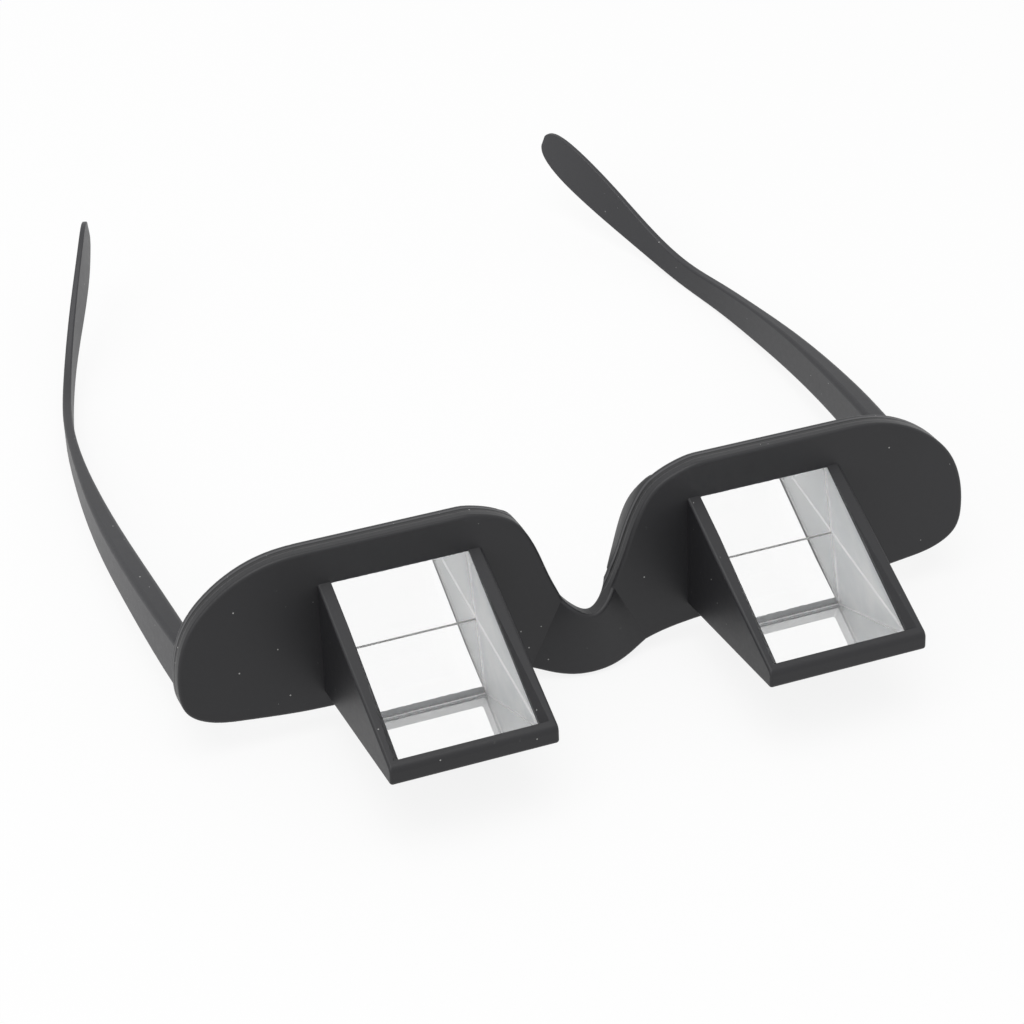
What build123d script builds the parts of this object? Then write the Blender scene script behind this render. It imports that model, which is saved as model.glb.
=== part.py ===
from build123d import *
import math
import os

os.makedirs("parts", exist_ok=True)

# Front: one moulded plate, flat except at the bridge
front_width = 148.2
plate_height = 31.2
plate_thickness = 4.2
plate_edge_radius = 0.58
lobe_start_share = 0.6815
lobe_end_share = 0.6073

# Bridge and nose notch
notch_half_width = 22.3
notch_bottom = 7.2
bridge_drop = 4.6
bridge_half_width = 28.0
bulge_depth = 2.4
scoop_depth = 3.6
arch_half_width = 10.1
arch_half_width_top = 5.4
arch_top = 9.4
arch_end_share = 0.63

# Nose flanges behind the notch
flange_root = 2.4
flange_depth = 3.4
flange_root_wall = 2.8
flange_edge_wall = 1.4
flange_edge_swell = 0.6
flange_flare_share = 0.4
flange_proud = 0.04

# Prisms
prism_spacing = 68.0
prism_width = 25.2
prism_depth = 31.78
prism_height = 18.75
prism_floor = 6.32
prism_setback = 1.29
prism_bevel = 0.25
backing_thickness = 0.4
backing_margin = 0.4

# Prism housings moulded on the shell
housing_width = 29.6
housing_depth = 33.0
housing_top = 24.6
housing_nose_top = 7.7
housing_floor_rear = 3.05
housing_floor_front = 4.5
nose_radius = 1.5
nose_foot_radius = 0.7
strip_edge_radius = 0.5
window_width = 24.7
window_lip = 0.1
strip_lip = 0.8
strip_bevel_width = 1.3
strip_bevel_rise = 1.6

# Retainers: bezels that close each housing from behind
retainer_wall = 0.6
retainer_lip = 1.0
retainer_lip_thickness = 0.8
eye_window_radius = 0.4

# Temples
temple_inset = 2.08
temple_length = 135.1
temple_tip_height = 34.1
temple_depth = 11.17
temple_thickness = 4.06
temple_corner_share = 0.24

# Hinges
hinge_standoff = 1.43
pivot_setback = 4.3
barrel_radius = 1.4
knuckle_height = 2.1
knuckle_gap = 0.1
leaf_thickness = 0.7
leaf_recess = 0.4
front_leaf_length = 9.6
temple_leaf_length = 12.0
temple_leaf_setback = 1.1
leaf_end_radius = 1.2
arm_overlap = 0.9
neck_half_width = 1.0
screw_radius = 0.7
screw_head_radius = 1.2
screw_head_height = 0.5
screw_slot_width = 0.3
screw_slot_depth = 0.25
screw_end = 0.3
rivet_radius = 0.6
rivet_head_radius = 1.0
rivet_head_height = 0.35
rivet_grip = 2.2
rivet_pitch = 3.8
rivet_margin = 2.1

# Clearances
running_clearance = 0.05
seat_clearance = 0.05
side_clearance = 0.1
temple_clearance = 0.3
cut_overrun = 5.0

# Steepest lean to try when standing the glasses on the ground, in degrees
steepest_lean = 30

# Shapes of the outline, as shares of the sizes that they follow
notch_shares = [
    (0.121, 0.049),
    (0.197, 0.117),
    (0.247, 0.211),
    (0.296, 0.316),
    (0.377, 0.522),
    (0.480, 0.733),
    (0.578, 0.854),
    (0.709, 0.931),
    (0.852, 0.978),
]
lobe_shares = [
    (0.775, 0.978),
    (0.849, 0.913),
    (0.916, 0.804),
    (0.963, 0.676),
    (0.991, 0.516),
    (1.000, 0.330),
    (0.985, 0.170),
    (0.938, 0.087),
    (0.848, 0.042),
    (0.742, 0.014),
]
bridge_shares = [
    (0.675, 0.114),
    (0.493, 0.295),
    (0.393, 0.466),
    (0.254, 0.773),
    (0.114, 0.966),
]

# How far each end of a curve holds its direction
end_pull_shares = (1, 1)

# Nose flange rows: height up the notch, then depth behind the plate
flange_shares = [
    (0.200, -0.09),
    (0.260, 0.12),
    (0.330, 0.50),
    (0.420, 0.81),
    (0.520, 0.93),
    (0.610, 0.85),
    (0.700, 0.60),
    (0.770, 0.30),
    (0.830, 0.04),
    (0.880, -0.12),
]

# Temple rows: along, across, height of centre, depth and thickness
temple_shares = [
    (0.0000, 0.9705, 0.2547, 1.005, 0.880),
    (0.0703, 0.9793, 0.2818, 0.943, 0.946),
    (0.1443, 0.9882, 0.3120, 0.868, 1.000),
    (0.2331, 0.9965, 0.3442, 0.775, 0.985),
    (0.3367, 1.0000, 0.3640, 0.712, 0.874),
    (0.4477, 0.9938, 0.3772, 0.675, 0.660),
    (0.5587, 0.9761, 0.3889, 0.603, 0.475),
    (0.6475, 0.9510, 0.4081, 0.515, 0.440),
    (0.7289, 0.9120, 0.4497, 0.465, 0.405),
    (0.8028, 0.8617, 0.5612, 0.543, 0.345),
    (0.8694, 0.8046, 0.7127, 0.720, 0.300),
    (0.9220, 0.7580, 0.8375, 0.815, 0.262),
    (0.9568, 0.7300, 0.9132, 0.800, 0.250),
    (0.9800, 0.7128, 0.9603, 0.690, 0.240),
    (0.9937, 0.7026, 0.9877, 0.500, 0.225),
    (1.0000, 0.6980, 1.0000, 0.250, 0.170),
]

# Places that follow from the sizes
half_width = front_width / 2
notch_depth = plate_height - notch_bottom
prism_x = prism_spacing / 2
prism_top = prism_floor + prism_height
prism_front = prism_setback - prism_depth
slope = prism_height / prism_depth
slope_cosine = math.cos(math.atan(slope))
housing_front = -housing_depth
temple_start = plate_thickness + temple_clearance
temple_half_spread = half_width - temple_inset
cavity_floor = prism_floor - backing_thickness
cavity_half = prism_width / 2 + side_clearance
cavity_top = prism_top + seat_clearance
cavity_middle = (cavity_top + cavity_floor) / 2
cavity_height = cavity_top - cavity_floor


def slant_z(y, lift):
    # Height of the glass's slanted face at y, raised square to it by lift
    return prism_top + (y - prism_setback) * slope + lift / slope_cosine


def slant_y(z, lift):
    # Place of the same raised line at height z
    return prism_setback + (z - prism_top - lift / slope_cosine) / slope


def across(points, width):
    # A side profile, given as y and z, extruded both ways across the front
    face = Plane.YZ * make_face(Polyline(*points, close=True))
    return extrude(face, amount=width / 2, both=True)


def upright(face, front, rear):
    # A face drawn in x and z, extruded from front to rear
    return extrude(Plane.XZ.offset(-rear) * face, amount=rear - front)


def handed(shape, side):
    # The right-hand shape, or its mirror image for the left
    return shape if side > 0 else mirror(shape, about=Plane.YZ)


def arched(base, depth, rear):
    # The bridge's arch, standing forward of base by depth and narrower towards its top
    taper = (arch_half_width - arch_half_width_top) / arch_top
    sections = []
    for z in (-bridge_drop - cut_overrun, arch_top + cut_overrun):
        half = arch_half_width - taper * z
        points = [(-half, base), (0, base - depth), (half, base)]
        end_slope = arch_end_share * 2 * depth / half
        ends = [(1, -end_slope), (1, end_slope)]
        arc = Spline(*points, tangents=ends, tangent_scalars=end_pull_shares)
        back = Polyline((half, base), (half, rear), (-half, rear), (-half, base))
        sections.append(Plane.XY.offset(z) * make_face([arc, back]))
    return loft(sections, ruled=True)


def round_rim(shape, faces):
    # Rounds the outer edges of the given faces, but not the creases between them
    edges = [edge for face in faces for edge in face.edges()]
    rim = [edge for edge in edges if sum(edge.is_same(other) for other in edges) == 1]
    return fillet(rim, plate_edge_radius)


# Outline of the plate, right half first and then its mirror image
notch_points = [(0, notch_bottom)]
notch_points += [(x * notch_half_width, notch_bottom + z * notch_depth) for x, z in notch_shares]
notch_points += [(notch_half_width, plate_height)]
lobe_points = [(lobe_start_share * half_width, plate_height)]
lobe_points += [(x * half_width, z * plate_height) for x, z in lobe_shares]
lobe_points += [(lobe_end_share * half_width, 0)]
bridge_points = [(bridge_half_width, 0)]
bridge_points += [(x * bridge_half_width, -z * bridge_drop) for x, z in bridge_shares]
bridge_points += [(0, -bridge_drop)]
half_outline = [
    Spline(*notch_points, tangents=[(1, 0), (1, 0)], tangent_scalars=end_pull_shares),
    Line(notch_points[-1], lobe_points[0]),
    Spline(*lobe_points, tangents=[(1, 0), (-1, 0)], tangent_scalars=end_pull_shares),
    Line(lobe_points[-1], bridge_points[0]),
    Spline(*bridge_points, tangents=[(-1, 0), (-1, 0)], tangent_scalars=end_pull_shares),
]
plate_outline = make_face(half_outline + [mirror(edge, about=Plane.YZ) for edge in half_outline])

# Plate, with the bridge arched forwards and scooped out behind
frame = upright(plate_outline, 0, plate_thickness)
bulge = arched(0, bulge_depth, plate_thickness)
frame = frame + (bulge & upright(plate_outline, -bulge_depth - cut_overrun, plate_thickness))
frame = frame - arched(plate_thickness, scoop_depth, plate_thickness + cut_overrun)
flats = frame.faces().filter_by(Axis.Y)
front_faces = [face for face in flats if face.center().Y < plate_edge_radius]
front_faces += [frame.faces().sort_by(Axis.Y)[0]]
frame = round_rim(frame, front_faces)
flats = frame.faces().filter_by(Axis.Y)
rear_faces = [face for face in flats if face.center().Y > plate_thickness - plate_edge_radius]
rear_faces += frame.faces().sort_by_distance((0, plate_thickness - scoop_depth, arch_top / 2))[:1]
frame = round_rim(frame, rear_faces)

# Housings: wedge boxes in front of the plate
housing_profile = Polyline(
    (plate_thickness, housing_floor_rear),
    (0, housing_floor_rear),
    (housing_front, housing_floor_front),
    (housing_front, housing_nose_top),
    (0, housing_top),
    (plate_thickness, housing_top),
    close=True,
)
housing_face = make_face(housing_profile)
nose_corner = housing_face.vertices().sort_by(Axis.X)[:2].sort_by(Axis.Y)
housing_face = fillet(nose_corner[1], nose_radius)
foot_corner = housing_face.vertices().sort_by(Axis.X)[:2].sort_by(Axis.Y)
housing_face = fillet(foot_corner[0], nose_foot_radius)
housing = extrude(Plane.YZ * housing_face, amount=housing_width / 2, both=True)
side_faces = [housing.faces().sort_by(Axis.X)[0], housing.faces().sort_by(Axis.X)[-1]]
long_edges = [edge for face in side_faces for edge in face.edges() if edge.center().Y < 0]
housing = fillet(long_edges, strip_edge_radius)

# Cavity that the prism slides into from behind
cavity_front = prism_front - seat_clearance
cavity = across(
    [
        (plate_thickness + cut_overrun, cavity_floor),
        (cavity_front, cavity_floor),
        (cavity_front, slant_z(cavity_front, seat_clearance)),
        (slant_y(cavity_top, seat_clearance), cavity_top),
        (plate_thickness + cut_overrun, cavity_top),
    ],
    cavity_half * 2,
)

# Window over the glass, with a bevel along each side strip
window_foot_y = prism_front + window_lip * slope_cosine
window_foot_z = slant_z(window_foot_y, 0)
window_rise = housing_top + cut_overrun
foot_lean_y = window_foot_y - (window_rise - window_foot_z) * slope
window = across(
    [
        (window_foot_y, window_foot_z),
        (foot_lean_y, window_rise),
        (0, window_rise),
        (0, slant_z(0, 0)),
    ],
    window_width,
)
bevel_plane = Plane(
    origin=(0, window_foot_y, window_foot_z),
    x_dir=(1, 0, 0),
    z_dir=(0, -slope, 1),
)
bevel_length = prism_depth / slope_cosine
bevel_faces = []
for lift, grow in (
    (strip_lip, 0),
    (strip_lip + strip_bevel_rise * 2, strip_bevel_width * 2),
):
    rectangle = Rectangle(window_width + grow * 2, bevel_length, align=(Align.CENTER, Align.MIN))
    bevel_faces.append(bevel_plane.offset(lift) * rectangle)
bevel = loft(bevel_faces, ruled=True)
bevel_limit = across(
    [
        (0, 0),
        (0, window_rise),
        (housing_front - cut_overrun, window_rise),
        (housing_front - cut_overrun, 0),
    ],
    housing_width * 2,
)
bevel = bevel & bevel_limit
for side in (1, -1):
    frame = frame + Pos(side * prism_x, 0, 0) * housing
recess = upright(
    Rectangle(cavity_half * 2 + retainer_lip * 2, cavity_height + retainer_lip * 2),
    plate_thickness - retainer_lip_thickness,
    plate_thickness + cut_overrun,
)
recess = Pos(0, 0, cavity_middle) * recess
for side in (1, -1):
    frame = frame - Pos(side * prism_x, 0, 0) * (cavity + window + bevel + recess)

# Prisms: glass wedges with slightly bevelled edges
prism_face = make_face(
    Polyline(
        (prism_setback, prism_floor),
        (prism_front, prism_floor),
        (prism_setback, prism_top),
        close=True,
    )
)
prism_face = chamfer(prism_face.vertices(), prism_bevel)
prism = Pos(prism_x, 0, 0) * extrude(Plane.YZ * prism_face, amount=prism_width / 2, both=True)

# Backings: protective sheets under the silvered floor of each prism
backing_front = prism_front + backing_margin + backing_thickness / slope
backing_rear = prism_setback - backing_margin
backing = Pos(prism_x, 0, 0) * across(
    [
        (backing_front, cavity_floor),
        (backing_rear, cavity_floor),
        (backing_rear, prism_floor),
        (backing_front, prism_floor),
    ],
    prism_width - backing_margin * 2,
)

# Nose flanges: rounded fins that rise behind the notch and flare outwards
notch_edge = half_outline[0]


def notch_x(z):
    # Half width of the notch at height z
    low, high = 0, 1
    for _ in range(20):
        middle = (low + high) / 2
        if notch_edge.position_at(middle).Y < z:
            low = middle
        else:
            high = middle
    return notch_edge.position_at(low).X


flange_sections = []
for height, depth in flange_shares:
    z = notch_bottom + height * notch_depth
    root_x = notch_x(z) - flange_proud
    edge_y = plate_thickness + depth * flange_depth
    edge_x = root_x + max(depth, 0) * flange_depth * flange_flare_share
    root_outer = root_x + flange_root_wall
    edge_outer = edge_x + flange_edge_wall
    edge_top = (edge_x + flange_edge_wall / 2, edge_y + flange_edge_swell)
    outline = [
        Spline((root_x, flange_root), (edge_x, edge_y), tangents=[(0, 1), (flange_flare_share, 1)]),
        ThreePointArc((edge_x, edge_y), edge_top, (edge_outer, edge_y)),
        Line((edge_outer, edge_y), (root_outer, flange_root)),
        Line((root_outer, flange_root), (root_x, flange_root)),
    ]
    flange_sections.append(Plane.XY.offset(z) * make_face(outline))
flange = loft(flange_sections)
for side in (1, -1):
    frame = frame + handed(flange, side)

# Temples: one long moulding each, flattened and dropped behind the ear
temple_rows = [
    (
        x * temple_half_spread,
        temple_start + y * temple_length,
        z * temple_tip_height,
        depth * temple_depth,
        width * temple_thickness,
    )
    for y, x, z, depth, width in temple_shares
]
temple_sections = []
for index, (x, y, z, depth, width) in enumerate(temple_rows):
    before = temple_rows[max(index - 1, 0)]
    after = temple_rows[min(index + 1, len(temple_rows) - 1)]
    course = Vector(after[0] - before[0], after[1] - before[1], after[2] - before[2])
    if index == 0:
        course = Vector(0, 1, 0)
    level = course.cross(Vector(0, 0, 1)).normalized()
    plane = Plane(origin=(x, y, z), x_dir=level, z_dir=course)
    corner = min(depth, width) * temple_corner_share
    temple_sections.append(plane * RectangleRounded(width, depth, corner))
temple = loft(temple_sections)

# Retainers: bezels pushed in behind each prism, with an eye window through them
retainer_width = (cavity_half - side_clearance) * 2
retainer_height = cavity_height - side_clearance * 2
retainer_front = prism_setback + seat_clearance
retainer = upright(Rectangle(retainer_width, retainer_height), retainer_front, plate_thickness)
retainer_flange = upright(
    Rectangle(retainer_width + retainer_lip * 2, retainer_height + retainer_lip * 2),
    plate_thickness - retainer_lip_thickness,
    plate_thickness,
)
eye_window = RectangleRounded(
    retainer_width - retainer_wall * 2,
    retainer_height - retainer_wall * 2,
    eye_window_radius,
)
retainer = retainer + retainer_flange
retainer = retainer - upright(eye_window, -cut_overrun, plate_thickness + cut_overrun)
retainer = Pos(prism_x, 0, cavity_middle) * retainer

# Hinge: pivot line inside the temple's front end
temple_front = temple_rows[0]
temple_inner = temple_front[0] - temple_front[4] / 2
pivot_x = temple_inner - hinge_standoff
pivot_y = plate_thickness + pivot_setback
hinge_z = temple_front[2]
stack_height = knuckle_height * 3 + knuckle_gap * 2
stack_bottom = hinge_z - stack_height / 2
step = knuckle_height + knuckle_gap
screw_hole_radius = screw_radius + running_clearance
screw_hole = Pos(pivot_x, pivot_y, hinge_z) * Cylinder(screw_hole_radius, stack_height * 2)


def block(x0, x1, y0, y1, z0, z1):
    # A box between two corners
    box = Box(x1 - x0, y1 - y0, z1 - z0, align=(Align.MIN, Align.MIN, Align.MIN))
    return Pos(x0, y0, z0) * box


def knuckle(number):
    # One barrel of the hinge, counted up from the lowest
    barrel = Cylinder(barrel_radius, knuckle_height, align=(Align.CENTER, Align.CENTER, Align.MIN))
    return Pos(pivot_x, pivot_y, stack_bottom + number * step) * barrel


def rivet(grip):
    # A domed rivet, head up, its head seated at the origin
    tail = Cylinder(rivet_radius, grip, align=(Align.CENTER, Align.CENTER, Align.MAX))
    head = Cylinder(rivet_head_radius, rivet_head_height, align=(Align.CENTER, Align.CENTER, Align.MIN))
    top_edge = head.edges().group_by(Axis.Z)[-1]
    return tail + chamfer(top_edge, rivet_head_height / 2)


# Front hinge: leaf let into the plate's back, two arms and their barrels
front_leaf_rear = plate_thickness - leaf_recess + leaf_thickness
front_leaf_end = pivot_x + arm_overlap
front_leaf_start = front_leaf_end - front_leaf_length
front_leaf = block(
    front_leaf_start,
    front_leaf_end,
    plate_thickness - leaf_recess,
    front_leaf_rear,
    stack_bottom,
    stack_bottom + stack_height,
)
leaf_corners = front_leaf.edges().filter_by(Axis.Y).group_by(Axis.X)[0]
front_leaf = fillet(leaf_corners, leaf_end_radius)
frame = frame - handed(front_leaf, 1) - handed(front_leaf, -1)
front_hinge = front_leaf
for number in (0, 2):
    low = stack_bottom + number * step
    arm = block(
        pivot_x - barrel_radius,
        front_leaf_end,
        plate_thickness - leaf_recess,
        pivot_y,
        low,
        low + knuckle_height,
    )
    front_hinge = front_hinge + arm + knuckle(number)
front_hinge = front_hinge - screw_hole

# Rivets through the front leaf
front_rivets = []
for index in range(2):
    x = front_leaf_start + rivet_margin + index * rivet_pitch
    seat = Pos(x, front_leaf_rear, hinge_z) * Rot(-90, 0, 0)
    front_rivets.append(seat * rivet(leaf_thickness + rivet_grip))
    hole = seat * Cylinder(rivet_radius + running_clearance, (leaf_thickness + rivet_grip) * 2)
    front_hinge = front_hinge - hole
    frame = frame - handed(hole, 1) - handed(hole, -1)

# Temple hinge: leaf let into the temple's inner side, with the middle barrel
temple_leaf_inner = pivot_x + barrel_radius + running_clearance * 2
temple_leaf_outer = temple_leaf_inner + leaf_thickness
temple_leaf_start = temple_start + temple_leaf_setback
temple_leaf_end = temple_leaf_start + temple_leaf_length
temple_leaf = block(
    temple_leaf_inner,
    temple_leaf_outer,
    temple_leaf_start,
    temple_leaf_end,
    stack_bottom,
    stack_bottom + stack_height,
)
leaf_corners = temple_leaf.edges().filter_by(Axis.X).group_by(Axis.Y)[-1]
temple_leaf = fillet(leaf_corners, leaf_end_radius)
neck = block(
    pivot_x,
    temple_leaf_outer,
    pivot_y - neck_half_width,
    pivot_y + neck_half_width,
    stack_bottom + step,
    stack_bottom + step + knuckle_height,
)
temple_hinge = temple_leaf + neck + knuckle(1) - screw_hole
pocket = block(
    temple_leaf_inner - temple_thickness,
    temple_leaf_outer,
    temple_leaf_start - side_clearance,
    temple_leaf_end + side_clearance,
    stack_bottom - side_clearance,
    stack_bottom + stack_height + side_clearance,
)
temple = temple - pocket

# Rivets through the temple leaf
temple_rivets = []
for index in range(2):
    y = temple_leaf_end - rivet_margin - index * rivet_pitch
    seat = Pos(temple_leaf_inner, y, hinge_z) * Rot(0, -90, 0)
    temple_rivets.append(seat * rivet(leaf_thickness + rivet_grip))
    hole = seat * Cylinder(rivet_radius + running_clearance, (leaf_thickness + rivet_grip) * 2)
    temple_hinge = temple_hinge - hole
    temple = temple - hole

# Screw down through the three barrels
shaft_length = stack_height + screw_end
shaft = Cylinder(screw_radius, shaft_length, align=(Align.CENTER, Align.CENTER, Align.MAX))
head = Cylinder(
    screw_head_radius,
    screw_head_height,
    align=(Align.CENTER, Align.CENTER, Align.MIN),
)
slot = Box(
    screw_head_radius * 3,
    screw_slot_width,
    screw_slot_depth,
    align=(Align.CENTER, Align.CENTER, Align.MAX),
)
screw = shaft + head - Pos(0, 0, screw_head_height) * slot
screw = Pos(pivot_x, pivot_y, stack_bottom + stack_height) * screw

# Lean at which the bridge and the temples' bends both meet the ground
lean_low, lean_high = 0, steepest_lean
for _ in range(16):
    lean = (lean_low + lean_high) / 2
    front_low = (Rot(-lean, 0, 0) * frame).bounding_box().min.Z
    temple_low = (Rot(-lean, 0, 0) * temple).bounding_box().min.Z
    if temple_low > front_low:
        lean_low = lean
    else:
        lean_high = lean

# Every piece by name, the right hand and the left
pieces = {"front_frame": frame}
for side, hand in ((1, "right"), (-1, "left")):
    pieces["prism_" + hand] = handed(prism, side)
    pieces["mirror_backing_" + hand] = handed(backing, side)
    pieces["prism_retainer_" + hand] = handed(retainer, side)
    pieces["temple_" + hand] = handed(temple, side)
    pieces["front_hinge_" + hand] = handed(front_hinge, side)
    pieces["temple_hinge_" + hand] = handed(temple_hinge, side)
    pieces["hinge_screw_" + hand] = handed(screw, side)
    for index, letter in enumerate("ab"):
        pieces["front_rivet_" + hand + "_" + letter] = handed(front_rivets[index], side)
        pieces["temple_rivet_" + hand + "_" + letter] = handed(temple_rivets[index], side)

# Stand the glasses on the ground, centred on their bounding box
leaning = {name: Rot(-lean, 0, 0) * piece for name, piece in pieces.items()}
bounds = [piece.bounding_box() for piece in leaning.values()]
ground = min(box.min.Z for box in bounds)
middle_y = (min(box.min.Y for box in bounds) + max(box.max.Y for box in bounds)) / 2
for name, piece in leaning.items():
    export_step(Pos(0, -middle_y, -ground) * piece, "parts/" + name + ".step")
print("lean", lean, "shift", -middle_y, -ground, "pivot", pivot_x, pivot_y, hinge_z)
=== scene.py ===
import math

import bpy
from mathutils import Euler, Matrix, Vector


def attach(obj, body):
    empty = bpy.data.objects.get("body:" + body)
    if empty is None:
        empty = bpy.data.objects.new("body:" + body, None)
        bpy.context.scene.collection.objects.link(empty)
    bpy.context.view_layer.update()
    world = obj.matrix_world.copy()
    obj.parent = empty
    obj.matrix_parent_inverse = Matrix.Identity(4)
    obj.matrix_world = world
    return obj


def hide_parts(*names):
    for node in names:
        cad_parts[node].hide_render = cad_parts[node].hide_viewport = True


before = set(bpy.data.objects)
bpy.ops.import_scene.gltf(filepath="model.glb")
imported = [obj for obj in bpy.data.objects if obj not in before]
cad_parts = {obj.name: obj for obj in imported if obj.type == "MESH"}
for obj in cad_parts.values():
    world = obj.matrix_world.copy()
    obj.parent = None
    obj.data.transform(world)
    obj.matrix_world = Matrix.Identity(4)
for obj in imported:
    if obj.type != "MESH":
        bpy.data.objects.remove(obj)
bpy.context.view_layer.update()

# Studio: the photograph's camera, and a pale sheet under the glasses with soft
# lamps above it. The sheet and the sky show white to the camera and through the
# glass, and the sheet still takes the glasses' faint shadow.


class Wire:
    """One value on its way through a finish. Python's operators add its Math nodes."""

    def __init__(self, finish, socket):
        self.finish = finish
        self.socket = socket

    def math(self, operation, *values):
        inputs = dict(enumerate(values))
        return self.finish.add("ShaderNodeMath", {"operation": operation}, inputs)

    def __add__(self, other):
        return self.math("ADD", self, other)

    def __sub__(self, other):
        return self.math("SUBTRACT", self, other)

    def __rsub__(self, other):
        return self.math("SUBTRACT", other, self)

    def __mul__(self, other):
        return self.math("MULTIPLY", self, other)

    def __gt__(self, other):
        return self.math("GREATER_THAN", self, other)

    def __lt__(self, other):
        return self.math("LESS_THAN", self, other)

    def __abs__(self):
        return self.math("ABSOLUTE", self)

    def most(self, other):
        return self.math("MAXIMUM", self, other)

    def between(self, low, high):
        # 0 up to low, 1 from high on, and smooth in between
        settings = {"interpolation_type": "SMOOTHSTEP"}
        inputs = {"Value": self, "From Min": low, "From Max": high}
        return self.finish.add("ShaderNodeMapRange", settings, inputs)

    def blend(self, start, end):
        # From one colour to the other as this value goes from 0 to 1
        share, first_colour, second_colour, mixed_colour = 0, 6, 7, 2
        inputs = {share: self, first_colour: start, second_colour: end}
        return self.finish.add("ShaderNodeMix", {"data_type": "RGBA"}, inputs, mixed_colour)


class Finish:
    """A surface finish built from nodes, each added by the one method below."""

    def __init__(self, name, owner=None):
        self.made = owner or bpy.data.materials.new(name)
        self.made.use_nodes = True
        self.tree = self.made.node_tree
        self.tree.nodes.clear()

    def add(self, kind, settings=None, inputs=None, output=0):
        node = self.tree.nodes.new(kind)
        for name, value in (settings or {}).items():
            setattr(node, name, value)
        for name, value in (inputs or {}).items():
            if isinstance(value, Wire):
                self.tree.links.new(value.socket, node.inputs[name])
            else:
                node.inputs[name].default_value = value
        return Wire(self, node.outputs[output]) if node.outputs else node

    def seen(self):
        # 1 where the camera, a reflection or the glass looks straight at the surface
        path = "ShaderNodeLightPath"
        rays = ("Is Camera Ray", "Is Glossy Ray", "Is Transmission Ray")
        straight, glossy, through = (self.add(path, output=ray) for ray in rays)
        return straight.most(glossy).most(through)


camera_lens = 105.82
camera_sensor = 36
camera_place = (-0.1708, -0.42001, 0.35023)
camera_turns = (51.7385, -1.4322, -21.9697)
camera_data = bpy.data.cameras.new("camera")
camera_data.sensor_width = camera_sensor
camera_data.lens = camera_lens
camera = bpy.data.objects.new("camera", camera_data)
camera.location = camera_place
camera.rotation_euler = [math.radians(turn) for turn in camera_turns]
bpy.context.scene.collection.objects.link(camera)
bpy.context.scene.camera = camera

sheet_size = 8
sheet_drop = 0.0001
sheet_glow = 0.86
bpy.ops.object.select_all(action="DESELECT")
bpy.ops.mesh.primitive_plane_add(size=sheet_size, location=(0, 0, -sheet_drop))
sheet = bpy.context.object
sheet.name = "studio_sheet"
paper = Finish("studio_paper")
paper_share = paper.seen() * sheet_glow
lit = paper.add("ShaderNodeBsdfDiffuse", inputs={"Color": (0.9, 0.9, 0.9, 1)})
white = paper.add("ShaderNodeEmission", inputs={"Color": (1, 1, 1, 1), "Strength": 1.0})
paper_mix = paper.add("ShaderNodeMixShader", inputs={0: paper_share, 1: lit, 2: white})
paper.add("ShaderNodeOutputMaterial", inputs={"Surface": paper_mix})
sheet.data.materials.append(paper.made)

sky_strength = 0.55
sky = Finish("studio_sky", bpy.data.worlds.new("studio_sky"))
bpy.context.scene.world = sky.made
sky_level = sky.seen() * (1 - sky_strength) + sky_strength
sky_look = {"Color": (1, 1, 1, 1), "Strength": sky_level}
sky_light = sky.add("ShaderNodeBackground", inputs=sky_look)
sky.add("ShaderNodeOutputWorld", inputs={"Surface": sky_light})

# Each lamp's place and size in metres, and its power in watts
lamps = {
    "lamp_above": ((-0.25, -0.15, 1.3), 1.1, 9),
    "lamp_left": ((-1.2, -0.5, 0.7), 0.9, 4),
}
for name, (place, size, power) in lamps.items():
    lamp_data = bpy.data.lights.new(name, "AREA")
    lamp_data.size = size
    lamp_data.energy = power
    lamp = bpy.data.objects.new(name, lamp_data)
    lamp.location = place
    lamp.rotation_euler = (-Vector(place)).to_track_quat("-Z", "Y").to_euler()
    bpy.context.scene.collection.objects.link(lamp)

# Front: one satin charcoal moulding that carries both prisms and the bridge. Its
# mould left a fine grain and a groove round the rim, whose dark colour is painted
# shade, with a pale painted highlight line behind it, and a few specks of pale dust
# sit on it. It leans on the ground by this angle, from this place.
lean = math.radians(9.46701)
stand = Vector((0, -0.05601045, 0.00454854))
front_tone = (0.0115, 0.0115, 0.0133)
front_roughness = 0.46
parting_depth = 0.0021


def plate_place(finish):
    # Place on the object in the front's own frame: across, rearward and up, in metres
    places = finish.add("ShaderNodeTexCoord", output="Object")
    turn = {"Vector": places, "Location": stand, "Rotation": (-lean, 0, 0)}
    return finish.add("ShaderNodeMapping", {"vector_type": "TEXTURE"}, turn)


def along(place, axis):
    return place.finish.add("ShaderNodeSeparateXYZ", inputs={0: place}, output=axis)


def noise(place, scale, detail):
    settings = {"noise_dimensions": "3D"}
    inputs = {"Vector": place, "Scale": scale, "Detail": detail, "Roughness": 0.55}
    return place.finish.add("ShaderNodeTexNoise", settings, inputs)


def specks(place, scale, largest, share):
    # Round dots of up to the largest radius, on that share of a jittered grid's cells
    least_share = 0.35
    inputs = {"Vector": place, "Scale": scale, "Randomness": 1.0}
    distance = place.finish.add("ShaderNodeTexVoronoi", {}, inputs, "Distance")
    lot = place.finish.add("ShaderNodeTexVoronoi", {}, inputs, "Color")
    radius = (along(lot, "Y") * (1 - least_share) + least_share) * (largest * scale)
    return (distance < radius) * (along(lot, "X") < share)


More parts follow.
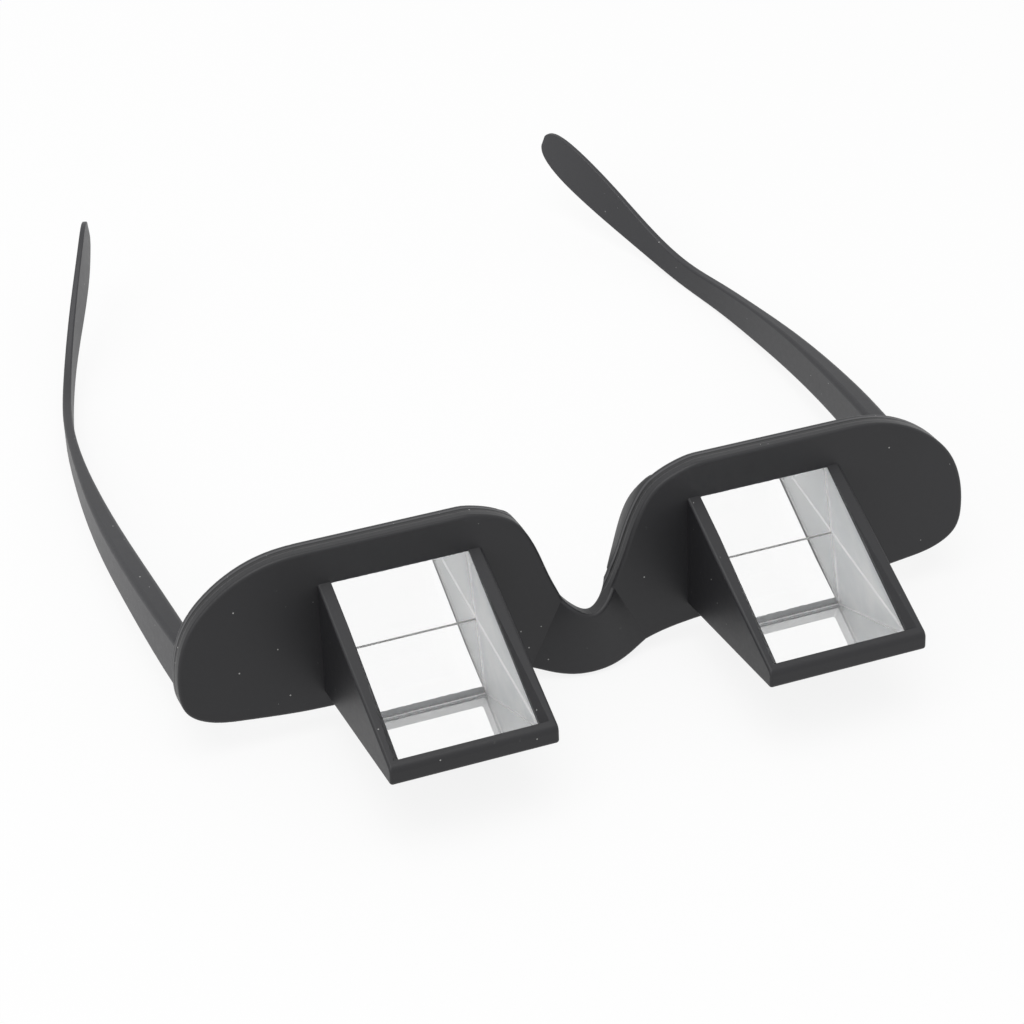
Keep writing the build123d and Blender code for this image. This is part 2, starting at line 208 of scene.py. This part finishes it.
def moulded(name, tone, satin, parting=None):
    # Satin plastic: cloudy tone, fine grain, dust, scuffs, and at a depth a parting groove
    # in painted shade with a painted highlight line behind it
    tone_spread = 0.12
    roughness_spread = 0.1
    grain_height = 0.000012
    dust_radius = 0.00014
    scuff_radius = 0.00035
    groove_half_width = (0.0002, 0.0006)
    groove_depth = 0.0001
    highlight_line_setback = 0.0009
    highlight_line_half_width = (0.00015, 0.0003)
    # Colours of the painted shade in the groove and of the painted highlight line behind it
    groove_shade_colour = (0.003, 0.003, 0.003, 1)
    highlight_line_colour = (0.09, 0.09, 0.095, 1)
    scuff_colour = (0.06, 0.06, 0.06, 1)
    dust_colour = (0.5, 0.5, 0.49, 1)
    finish = Finish(name)
    place = plate_place(finish)
    cloud = noise(place, 22, 3).between(0.3, 0.7)
    grain = noise(place, 5200, 2)
    dust = specks(place, 430, dust_radius, 0.85)
    frayed = noise(place, 2600, 2).between(0.45, 0.6)
    scuffs = specks(place, 190, scuff_radius, 0.4) * frayed
    dark = tuple(part * (1 - tone_spread) for part in tone) + (1,)
    light = tuple(part * (1 + tone_spread) for part in tone) + (1,)
    colour = cloud.blend(dark, light)
    height = grain * grain_height
    if parting is not None:
        depth = along(place, "Y")
        groove = 1 - abs(depth - parting).between(*groove_half_width)
        painted_highlight_line = 1 - abs(depth - parting - highlight_line_setback).between(*highlight_line_half_width)
        # Painted shade: the groove is darkened in colour as well as cut by the bump;
        # painted highlight: a pale line just behind it
        colour = (groove * 0.45).blend(colour, groove_shade_colour)
        colour = (painted_highlight_line * 0.6).blend(colour, highlight_line_colour)
        height = height - groove * groove_depth
    colour = (scuffs * 0.35).blend(colour, scuff_colour)
    colour = (dust * 0.7).blend(colour, dust_colour)
    smoothest = satin - roughness_spread / 2
    look = {
        "Base Color": colour,
        "Roughness": noise(place, 900, 3) * roughness_spread + smoothest,
        "Normal": finish.add("ShaderNodeBump", {}, {"Height": height, "Distance": 1.0}),
        "IOR": 1.46,
    }
    skin = finish.add("ShaderNodeBsdfPrincipled", {}, look)
    finish.add("ShaderNodeOutputMaterial", inputs={"Surface": skin})
    return finish.made


def dress(node, material):
    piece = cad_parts[node]
    piece.data.materials.clear()
    piece.data.materials.append(material)


front_look = moulded("front_plastic", front_tone, front_roughness, parting_depth)
dress("front_frame", front_look)

# Prisms: a wedge of polished optical glass in each housing, silvered underneath, with
# its ends and the narrow bevels of its edges left ground. The long bevels are dark grey,
# painted shade, and the end bevels paler than the ends, painted highlight. Cement seals
# the slanted face under the plate's edge and along both sides of the window.
glass_width = 0.0252
glass_depth = 0.03178
glass_height = 0.01873
glass_floor = 0.00634
glass_rear = 0.00129
glass_bevel = 0.00026
cement_edge = 0
cement_half = 0.01235
glass_spread = 0.034


def pick(piece, kind, wanted):
    # In edit mode, selects only the faces, edges or corners that wanted says
    modes = {"polygons": "FACE", "edges": "EDGE", "vertices": "VERT"}
    bpy.ops.object.mode_set(mode="EDIT")
    bpy.ops.mesh.select_mode(type=modes[kind])
    bpy.ops.mesh.select_all(action="DESELECT")
    bpy.ops.object.mode_set(mode="OBJECT")
    for part in getattr(piece.data, kind):
        part.select = bool(wanted(part))
    bpy.ops.object.mode_set(mode="EDIT")


def apply_place(piece):
    bpy.ops.object.mode_set(mode="OBJECT")
    bpy.ops.object.select_all(action="DESELECT")
    piece.select_set(True)
    bpy.context.view_layer.objects.active = piece
    bpy.ops.object.transform_apply(location=True, rotation=True, scale=True)


def settle(piece, x, y, z):
    # From the front's own frame, with its origin at x, y and z, to its lean on the ground
    turn = Euler((-lean, 0, 0)).to_matrix()
    piece.rotation_euler = (-lean, 0, 0)
    piece.location = turn @ Vector((x, y, z)) + stand
    apply_place(piece)


def finish_glass():
    # Clear polished glass, specked with dust, with a bead of cement under the window's rim
    dust_radius = 0.00007
    cement_wander = 0.0003
    finish = Finish("polished_glass")
    place = plate_place(finish)
    dust = specks(place, 300, dust_radius, 0.1)
    clear = {
        "Base Color": (dust * 0.5).blend((1, 1, 1, 1), (0.7, 0.7, 0.7, 1)),
        "Roughness": 0.0,
        "IOR": 1.517,
        "Transmission Weight": 1.0,
    }
    glass = finish.add("ShaderNodeBsdfPrincipled", {}, clear)
    wander = (noise(place, 1100, 3) - 0.5) * cement_wander
    under_top = along(place, "Y") + wander > cement_edge
    under_sides = abs(abs(along(place, "X")) - glass_spread) > cement_half
    front_side = along(place, "Y") < glass_rear - glass_bevel
    sealed = under_top.most(under_sides) * front_side
    flecks = noise(place, 3600, 3).between(0.3, 0.7)
    bead = {
        "Base Color": flecks.blend((0.36, 0.37, 0.38, 1), (0.68, 0.69, 0.7, 1)),
        "Roughness": flecks * 0.2 + 0.5,
    }
    cement = finish.add("ShaderNodeBsdfPrincipled", {}, bead)
    surface = finish.add("ShaderNodeMixShader", inputs={0: sealed, 1: glass, 2: cement})
    finish.add("ShaderNodeOutputMaterial", inputs={"Surface": surface})
    return finish.made


def finish_ground():
    # Ground glass: nearly white from within, clouded and finely pitted
    pit_depth = 0.00002
    finish = Finish("ground_glass")
    place = plate_place(finish)
    pits = noise(place, 3000, 3)
    streaks = noise(place, 110, 4).between(0.35, 0.65)
    relief = {"Height": pits * pit_depth, "Distance": 1.0}
    frosted = {
        "Base Color": streaks.blend((0.88, 0.9, 0.91, 1), (0.985, 0.99, 0.99, 1)),
        "Roughness": pits * 0.15 + 0.5,
        "IOR": 1.517,
        "Normal": finish.add("ShaderNodeBump", {}, relief),
    }
    glass = finish.add("ShaderNodeBsdfPrincipled", {}, frosted)
    finish.add("ShaderNodeOutputMaterial", inputs={"Surface": glass})
    return finish.made


def finish_edge(name, dark, light):
    # A narrow bevel along an edge, ground by hand, in a tone set dark to paint a shaded
    # line or light to paint a highlighted line
    finish = Finish(name)
    place = plate_place(finish)
    chips = noise(place, 1800, 3).between(0.35, 0.7)
    rubbed = {
        "Base Color": chips.blend((dark, dark, dark, 1), (light, light, light, 1)),
        "Roughness": chips * 0.2 + 0.4,
    }
    glass = finish.add("ShaderNodeBsdfPrincipled", {}, rubbed)
    finish.add("ShaderNodeOutputMaterial", inputs={"Surface": glass})
    return finish.made


def finish_silver():
    # The silvered floor, seen as a mirror through the glass
    finish = Finish("silvering")
    place = plate_place(finish)
    bright = (0.99, 0.99, 0.99, 1)
    dull = (0.94, 0.95, 0.95, 1)
    tarnish = noise(place, 300, 3).between(0.5, 0.8)
    mirror = {
        "Base Color": (tarnish * 0.3).blend(bright, dull),
        "Metallic": 1.0,
        "Roughness": tarnish * 0.004,
    }
    metal = finish.add("ShaderNodeBsdfPrincipled", {}, mirror)
    finish.add("ShaderNodeOutputMaterial", inputs={"Surface": metal})
    return finish.made


polished = finish_glass()
ground = finish_ground()
silvered = finish_silver()
# Painted shade along the long bevels, and painted highlight along the end bevels
long_edge_painted_shade = finish_edge("long_edge_painted_shade", 0.28, 0.4)
end_edge_painted_highlight = finish_edge("end_edge_painted_highlight", 0.95, 0.999)
slant = Vector((0, -glass_height, glass_depth)).normalized()


def make_prism(name, x):
    # A block with its upper front edge pulled down to the floor, then bevelled all round.
    # Its faces are told apart by how squarely they face along an axis or the slant.
    merge_distance = 0.000001
    square = 0.99
    level = 0.01
    upward = 0.1
    bpy.ops.object.select_all(action="DESELECT")
    bpy.ops.mesh.primitive_cube_add(size=1, scale=(glass_width, glass_depth, glass_height))
    piece = bpy.context.object
    piece.name = name
    apply_place(piece)
    pick(piece, "vertices", lambda corner: corner.co.y < 0 and corner.co.z > 0)
    bpy.ops.transform.translate(value=(0, 0, -glass_height))
    bpy.ops.mesh.select_all(action="SELECT")
    bpy.ops.mesh.remove_doubles(threshold=merge_distance)
    pick(piece, "edges", lambda edge: True)
    bpy.ops.mesh.bevel(offset=glass_bevel, segments=1)
    sides = {
        ground: lambda normal: abs(normal.x) > square,
        polished: lambda normal: normal.y > square or normal.dot(slant) > square,
        silvered: lambda normal: normal.z < -square,
        end_edge_painted_highlight: lambda normal: (
            level < abs(normal.x) < square or min(normal.y, normal.z) > upward
        ),
    }
    piece.data.materials.append(long_edge_painted_shade)
    for number, (material, facing) in enumerate(sides.items()):
        piece.data.materials.append(material)
        pick(piece, "polygons", lambda face: facing(face.normal))
        piece.active_material_index = number + 1
        bpy.ops.object.material_slot_assign()
    bpy.ops.object.mode_set(mode="OBJECT")
    settle(piece, x, glass_rear - glass_depth / 2, glass_floor + glass_height / 2)
    return piece


for side, hand in ((-1, "left"), (1, "right")):
    prism = make_prism("glass_prism_" + hand, side * glass_spread)
    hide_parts("prism_" + hand)
    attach(prism, "front")

# Backings: a thin grey protective sheet under the silvering of each prism, with a
# fine mottled grain.
backing_dark = (0.10, 0.10, 0.10, 1)
backing_light = (0.16, 0.16, 0.165, 1)
backing = Finish("backing_sheet")
backing_place = plate_place(backing)
backing_grain = noise(backing_place, 700, 3)
backing_look = {
    "Base Color": backing_grain.blend(backing_dark, backing_light),
    "Roughness": backing_grain * 0.2 + 0.45,
}
backing_skin = backing.add("ShaderNodeBsdfPrincipled", {}, backing_look)
backing.add("ShaderNodeOutputMaterial", inputs={"Surface": backing_skin})
for hand in ("left", "right"):
    dress("mirror_backing_" + hand, backing.made)

# Retainers: pale moulded bezels pushed in behind the prisms, open for the eyes. They
# are pale because nothing dark shows through the glass behind its rear face.
retainer_tone = (0.93, 0.935, 0.94)
retainer_roughness = 0.4
retainer_look = moulded("retainer_plastic", retainer_tone, retainer_roughness)
for hand in ("left", "right"):
    dress("prism_retainer_" + hand, retainer_look)

# Temples: one long satin moulding each, a touch paler than the front, with the same
# grain and dust.
temple_tone = (0.0245, 0.0245, 0.0275)
temple_roughness = 0.44
temple_look = moulded("temple_plastic", temple_tone, temple_roughness)
for hand in ("left", "right"):
    dress("temple_" + hand, temple_look)

# Hinges: pressed steel leaves and barrels on the front and on each temple, drawn to a
# fine grain and darker where they have worn.
hinge_shade = 0.55
hinge_roughness = 0.28


def steel(name, shade, roughness):
    # Bright steel with a fine grain and duller worn patches
    grain_height = 0.000008
    bright = (shade, shade, shade * 1.02, 1)
    dull = (shade * 0.7, shade * 0.7, shade * 0.7, 1)
    finish = Finish(name)
    place = plate_place(finish)
    drawn = noise(place, 2600, 2)
    worn = noise(place, 240, 3).between(0.45, 0.75)
    grain = {"Height": drawn * grain_height, "Distance": 1.0}
    look = {
        "Base Color": worn.blend(bright, dull),
        "Metallic": 1.0,
        "Roughness": drawn * 0.2 + roughness,
        "Normal": finish.add("ShaderNodeBump", {}, grain),
    }
    metal = finish.add("ShaderNodeBsdfPrincipled", {}, look)
    finish.add("ShaderNodeOutputMaterial", inputs={"Surface": metal})
    return finish.made


hinge_look = steel("hinge_steel", hinge_shade, hinge_roughness)
for hand in ("left", "right"):
    dress("front_hinge_" + hand, hinge_look)
    dress("temple_hinge_" + hand, hinge_look)

# Rivets: small domed steel rivets, two through each leaf of a hinge, with their tails
# let into the plastic. The rows give the place of each across the front and rearward.
rivet_shade = 0.6
rivet_roughness = 0.24
rivet_head_radius = 0.001
rivet_head_height = 0.00035
rivet_shank_radius = 0.0006
rivet_shank_length = 0.0029
hinge_height = 0.00868527
rivet_rows = {
    "front": ((0.060079, 0.0045), (0.063879, 0.0045)),
    "temple": ((0.068179, 0.0155), (0.068179, 0.0117)),
}


def turned(name, head_radius, head_height, shank_radius, shank_length):
    # A domed head on a straight shank, standing head up with the head's foot at the origin
    rim_height = head_height * 0.35
    dome_steps = ((0.1, 0.27), (0.2, 0.23), (0.3, 0.12), (0.25, 0.03))
    straight_share = 0.94
    tip_share = 0.75
    square = 0.99
    smooth_angle = math.radians(38)
    bpy.ops.object.select_all(action="DESELECT")
    bpy.ops.mesh.primitive_cylinder_add(
        vertices=40,
        radius=head_radius,
        depth=rim_height,
        location=(0, 0, rim_height / 2),
    )
    piece = bpy.context.object
    piece.name = name
    apply_place(piece)
    pick(piece, "polygons", lambda face: face.normal.z > square)
    for inward, upward in dome_steps:
        bpy.ops.mesh.inset(thickness=head_radius * inward)
        bpy.ops.transform.translate(value=(0, 0, head_height * upward))
    pick(piece, "polygons", lambda face: face.normal.z < -square)
    bpy.ops.mesh.inset(thickness=head_radius - shank_radius)
    for share in (straight_share, 1 - straight_share):
        reach = {"value": (0, 0, -shank_length * share)}
        bpy.ops.mesh.extrude_region_move(TRANSFORM_OT_translate=reach)
    bpy.ops.transform.resize(value=(tip_share, tip_share, 1))
    bpy.ops.object.mode_set(mode="OBJECT")
    bpy.ops.object.shade_smooth_by_angle(angle=smooth_angle)
    return piece


def copied(piece, name):
    twin = piece.copy()
    twin.data = piece.data.copy()
    twin.name = name
    bpy.context.scene.collection.objects.link(twin)
    return twin


def fit(piece, material, node, body):
    piece.data.materials.clear()
    piece.data.materials.append(material)
    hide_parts(node)
    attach(piece, body)


rivet_look = steel("rivet_steel", rivet_shade, rivet_roughness)
rivet_sizes = (rivet_head_radius, rivet_head_height, rivet_shank_radius, rivet_shank_length)
rivet = turned("domed_rivet", *rivet_sizes)
for side, hand in ((-1, "left"), (1, "right")):
    for leaf, row in rivet_rows.items():
        for letter, (x, y) in zip("ab", row):
            node = leaf + "_rivet_" + hand + "_" + letter
            piece = copied(rivet, "domed_" + node)
            turn = math.radians(-90)
            piece.rotation_euler = (turn, 0, 0) if leaf == "front" else (0, turn * side, 0)
            apply_place(piece)
            settle(piece, side * x, y, hinge_height)
            body = "front" if leaf == "front" else "temple_" + hand
            fit(piece, rivet_look, node, body)
bpy.data.objects.remove(rivet)

# Screws: one turned steel screw down through the three barrels of each hinge, with a
# slot across its low dome.
screw_shade = 0.5
screw_roughness = 0.22
screw_turn = 35
screw_head_radius = 0.0012
screw_head_height = 0.0005
screw_shank_radius = 0.0007
screw_shank_length = 0.0068
screw_slot_width = 0.0003
screw_slot_depth = 0.00025
screw_place = (0.06667901, 0.0085, 0.01193527)

screw_look = steel("screw_steel", screw_shade, screw_roughness)
screw_sizes = (screw_head_radius, screw_head_height, screw_shank_radius, screw_shank_length)
screw = turned("slotted_screw", *screw_sizes)
bpy.ops.object.select_all(action="DESELECT")
bpy.ops.mesh.primitive_cube_add(
    size=1,
    scale=(screw_head_radius * 3, screw_slot_width, screw_slot_depth * 2),
    location=(0, 0, screw_head_height),
)
cutter = bpy.context.object
apply_place(cutter)
bpy.ops.object.select_all(action="DESELECT")
screw.select_set(True)
bpy.context.view_layer.objects.active = screw
slot_cut = screw.modifiers.new("slot", "BOOLEAN")
slot_cut.operation = "DIFFERENCE"
slot_cut.object = cutter
bpy.ops.object.modifier_apply(modifier="slot")
bpy.data.objects.remove(cutter)
for side, hand in ((-1, "left"), (1, "right")):
    piece = copied(screw, "slotted_hinge_screw_" + hand)
    piece.rotation_euler = (0, 0, math.radians(screw_turn) * side)
    apply_place(piece)
    settle(piece, side * screw_place[0], *screw_place[1:])
    fit(piece, screw_look, "hinge_screw_" + hand, "front")
bpy.data.objects.remove(screw)

bpy.context.scene.view_settings.view_transform = "Standard"
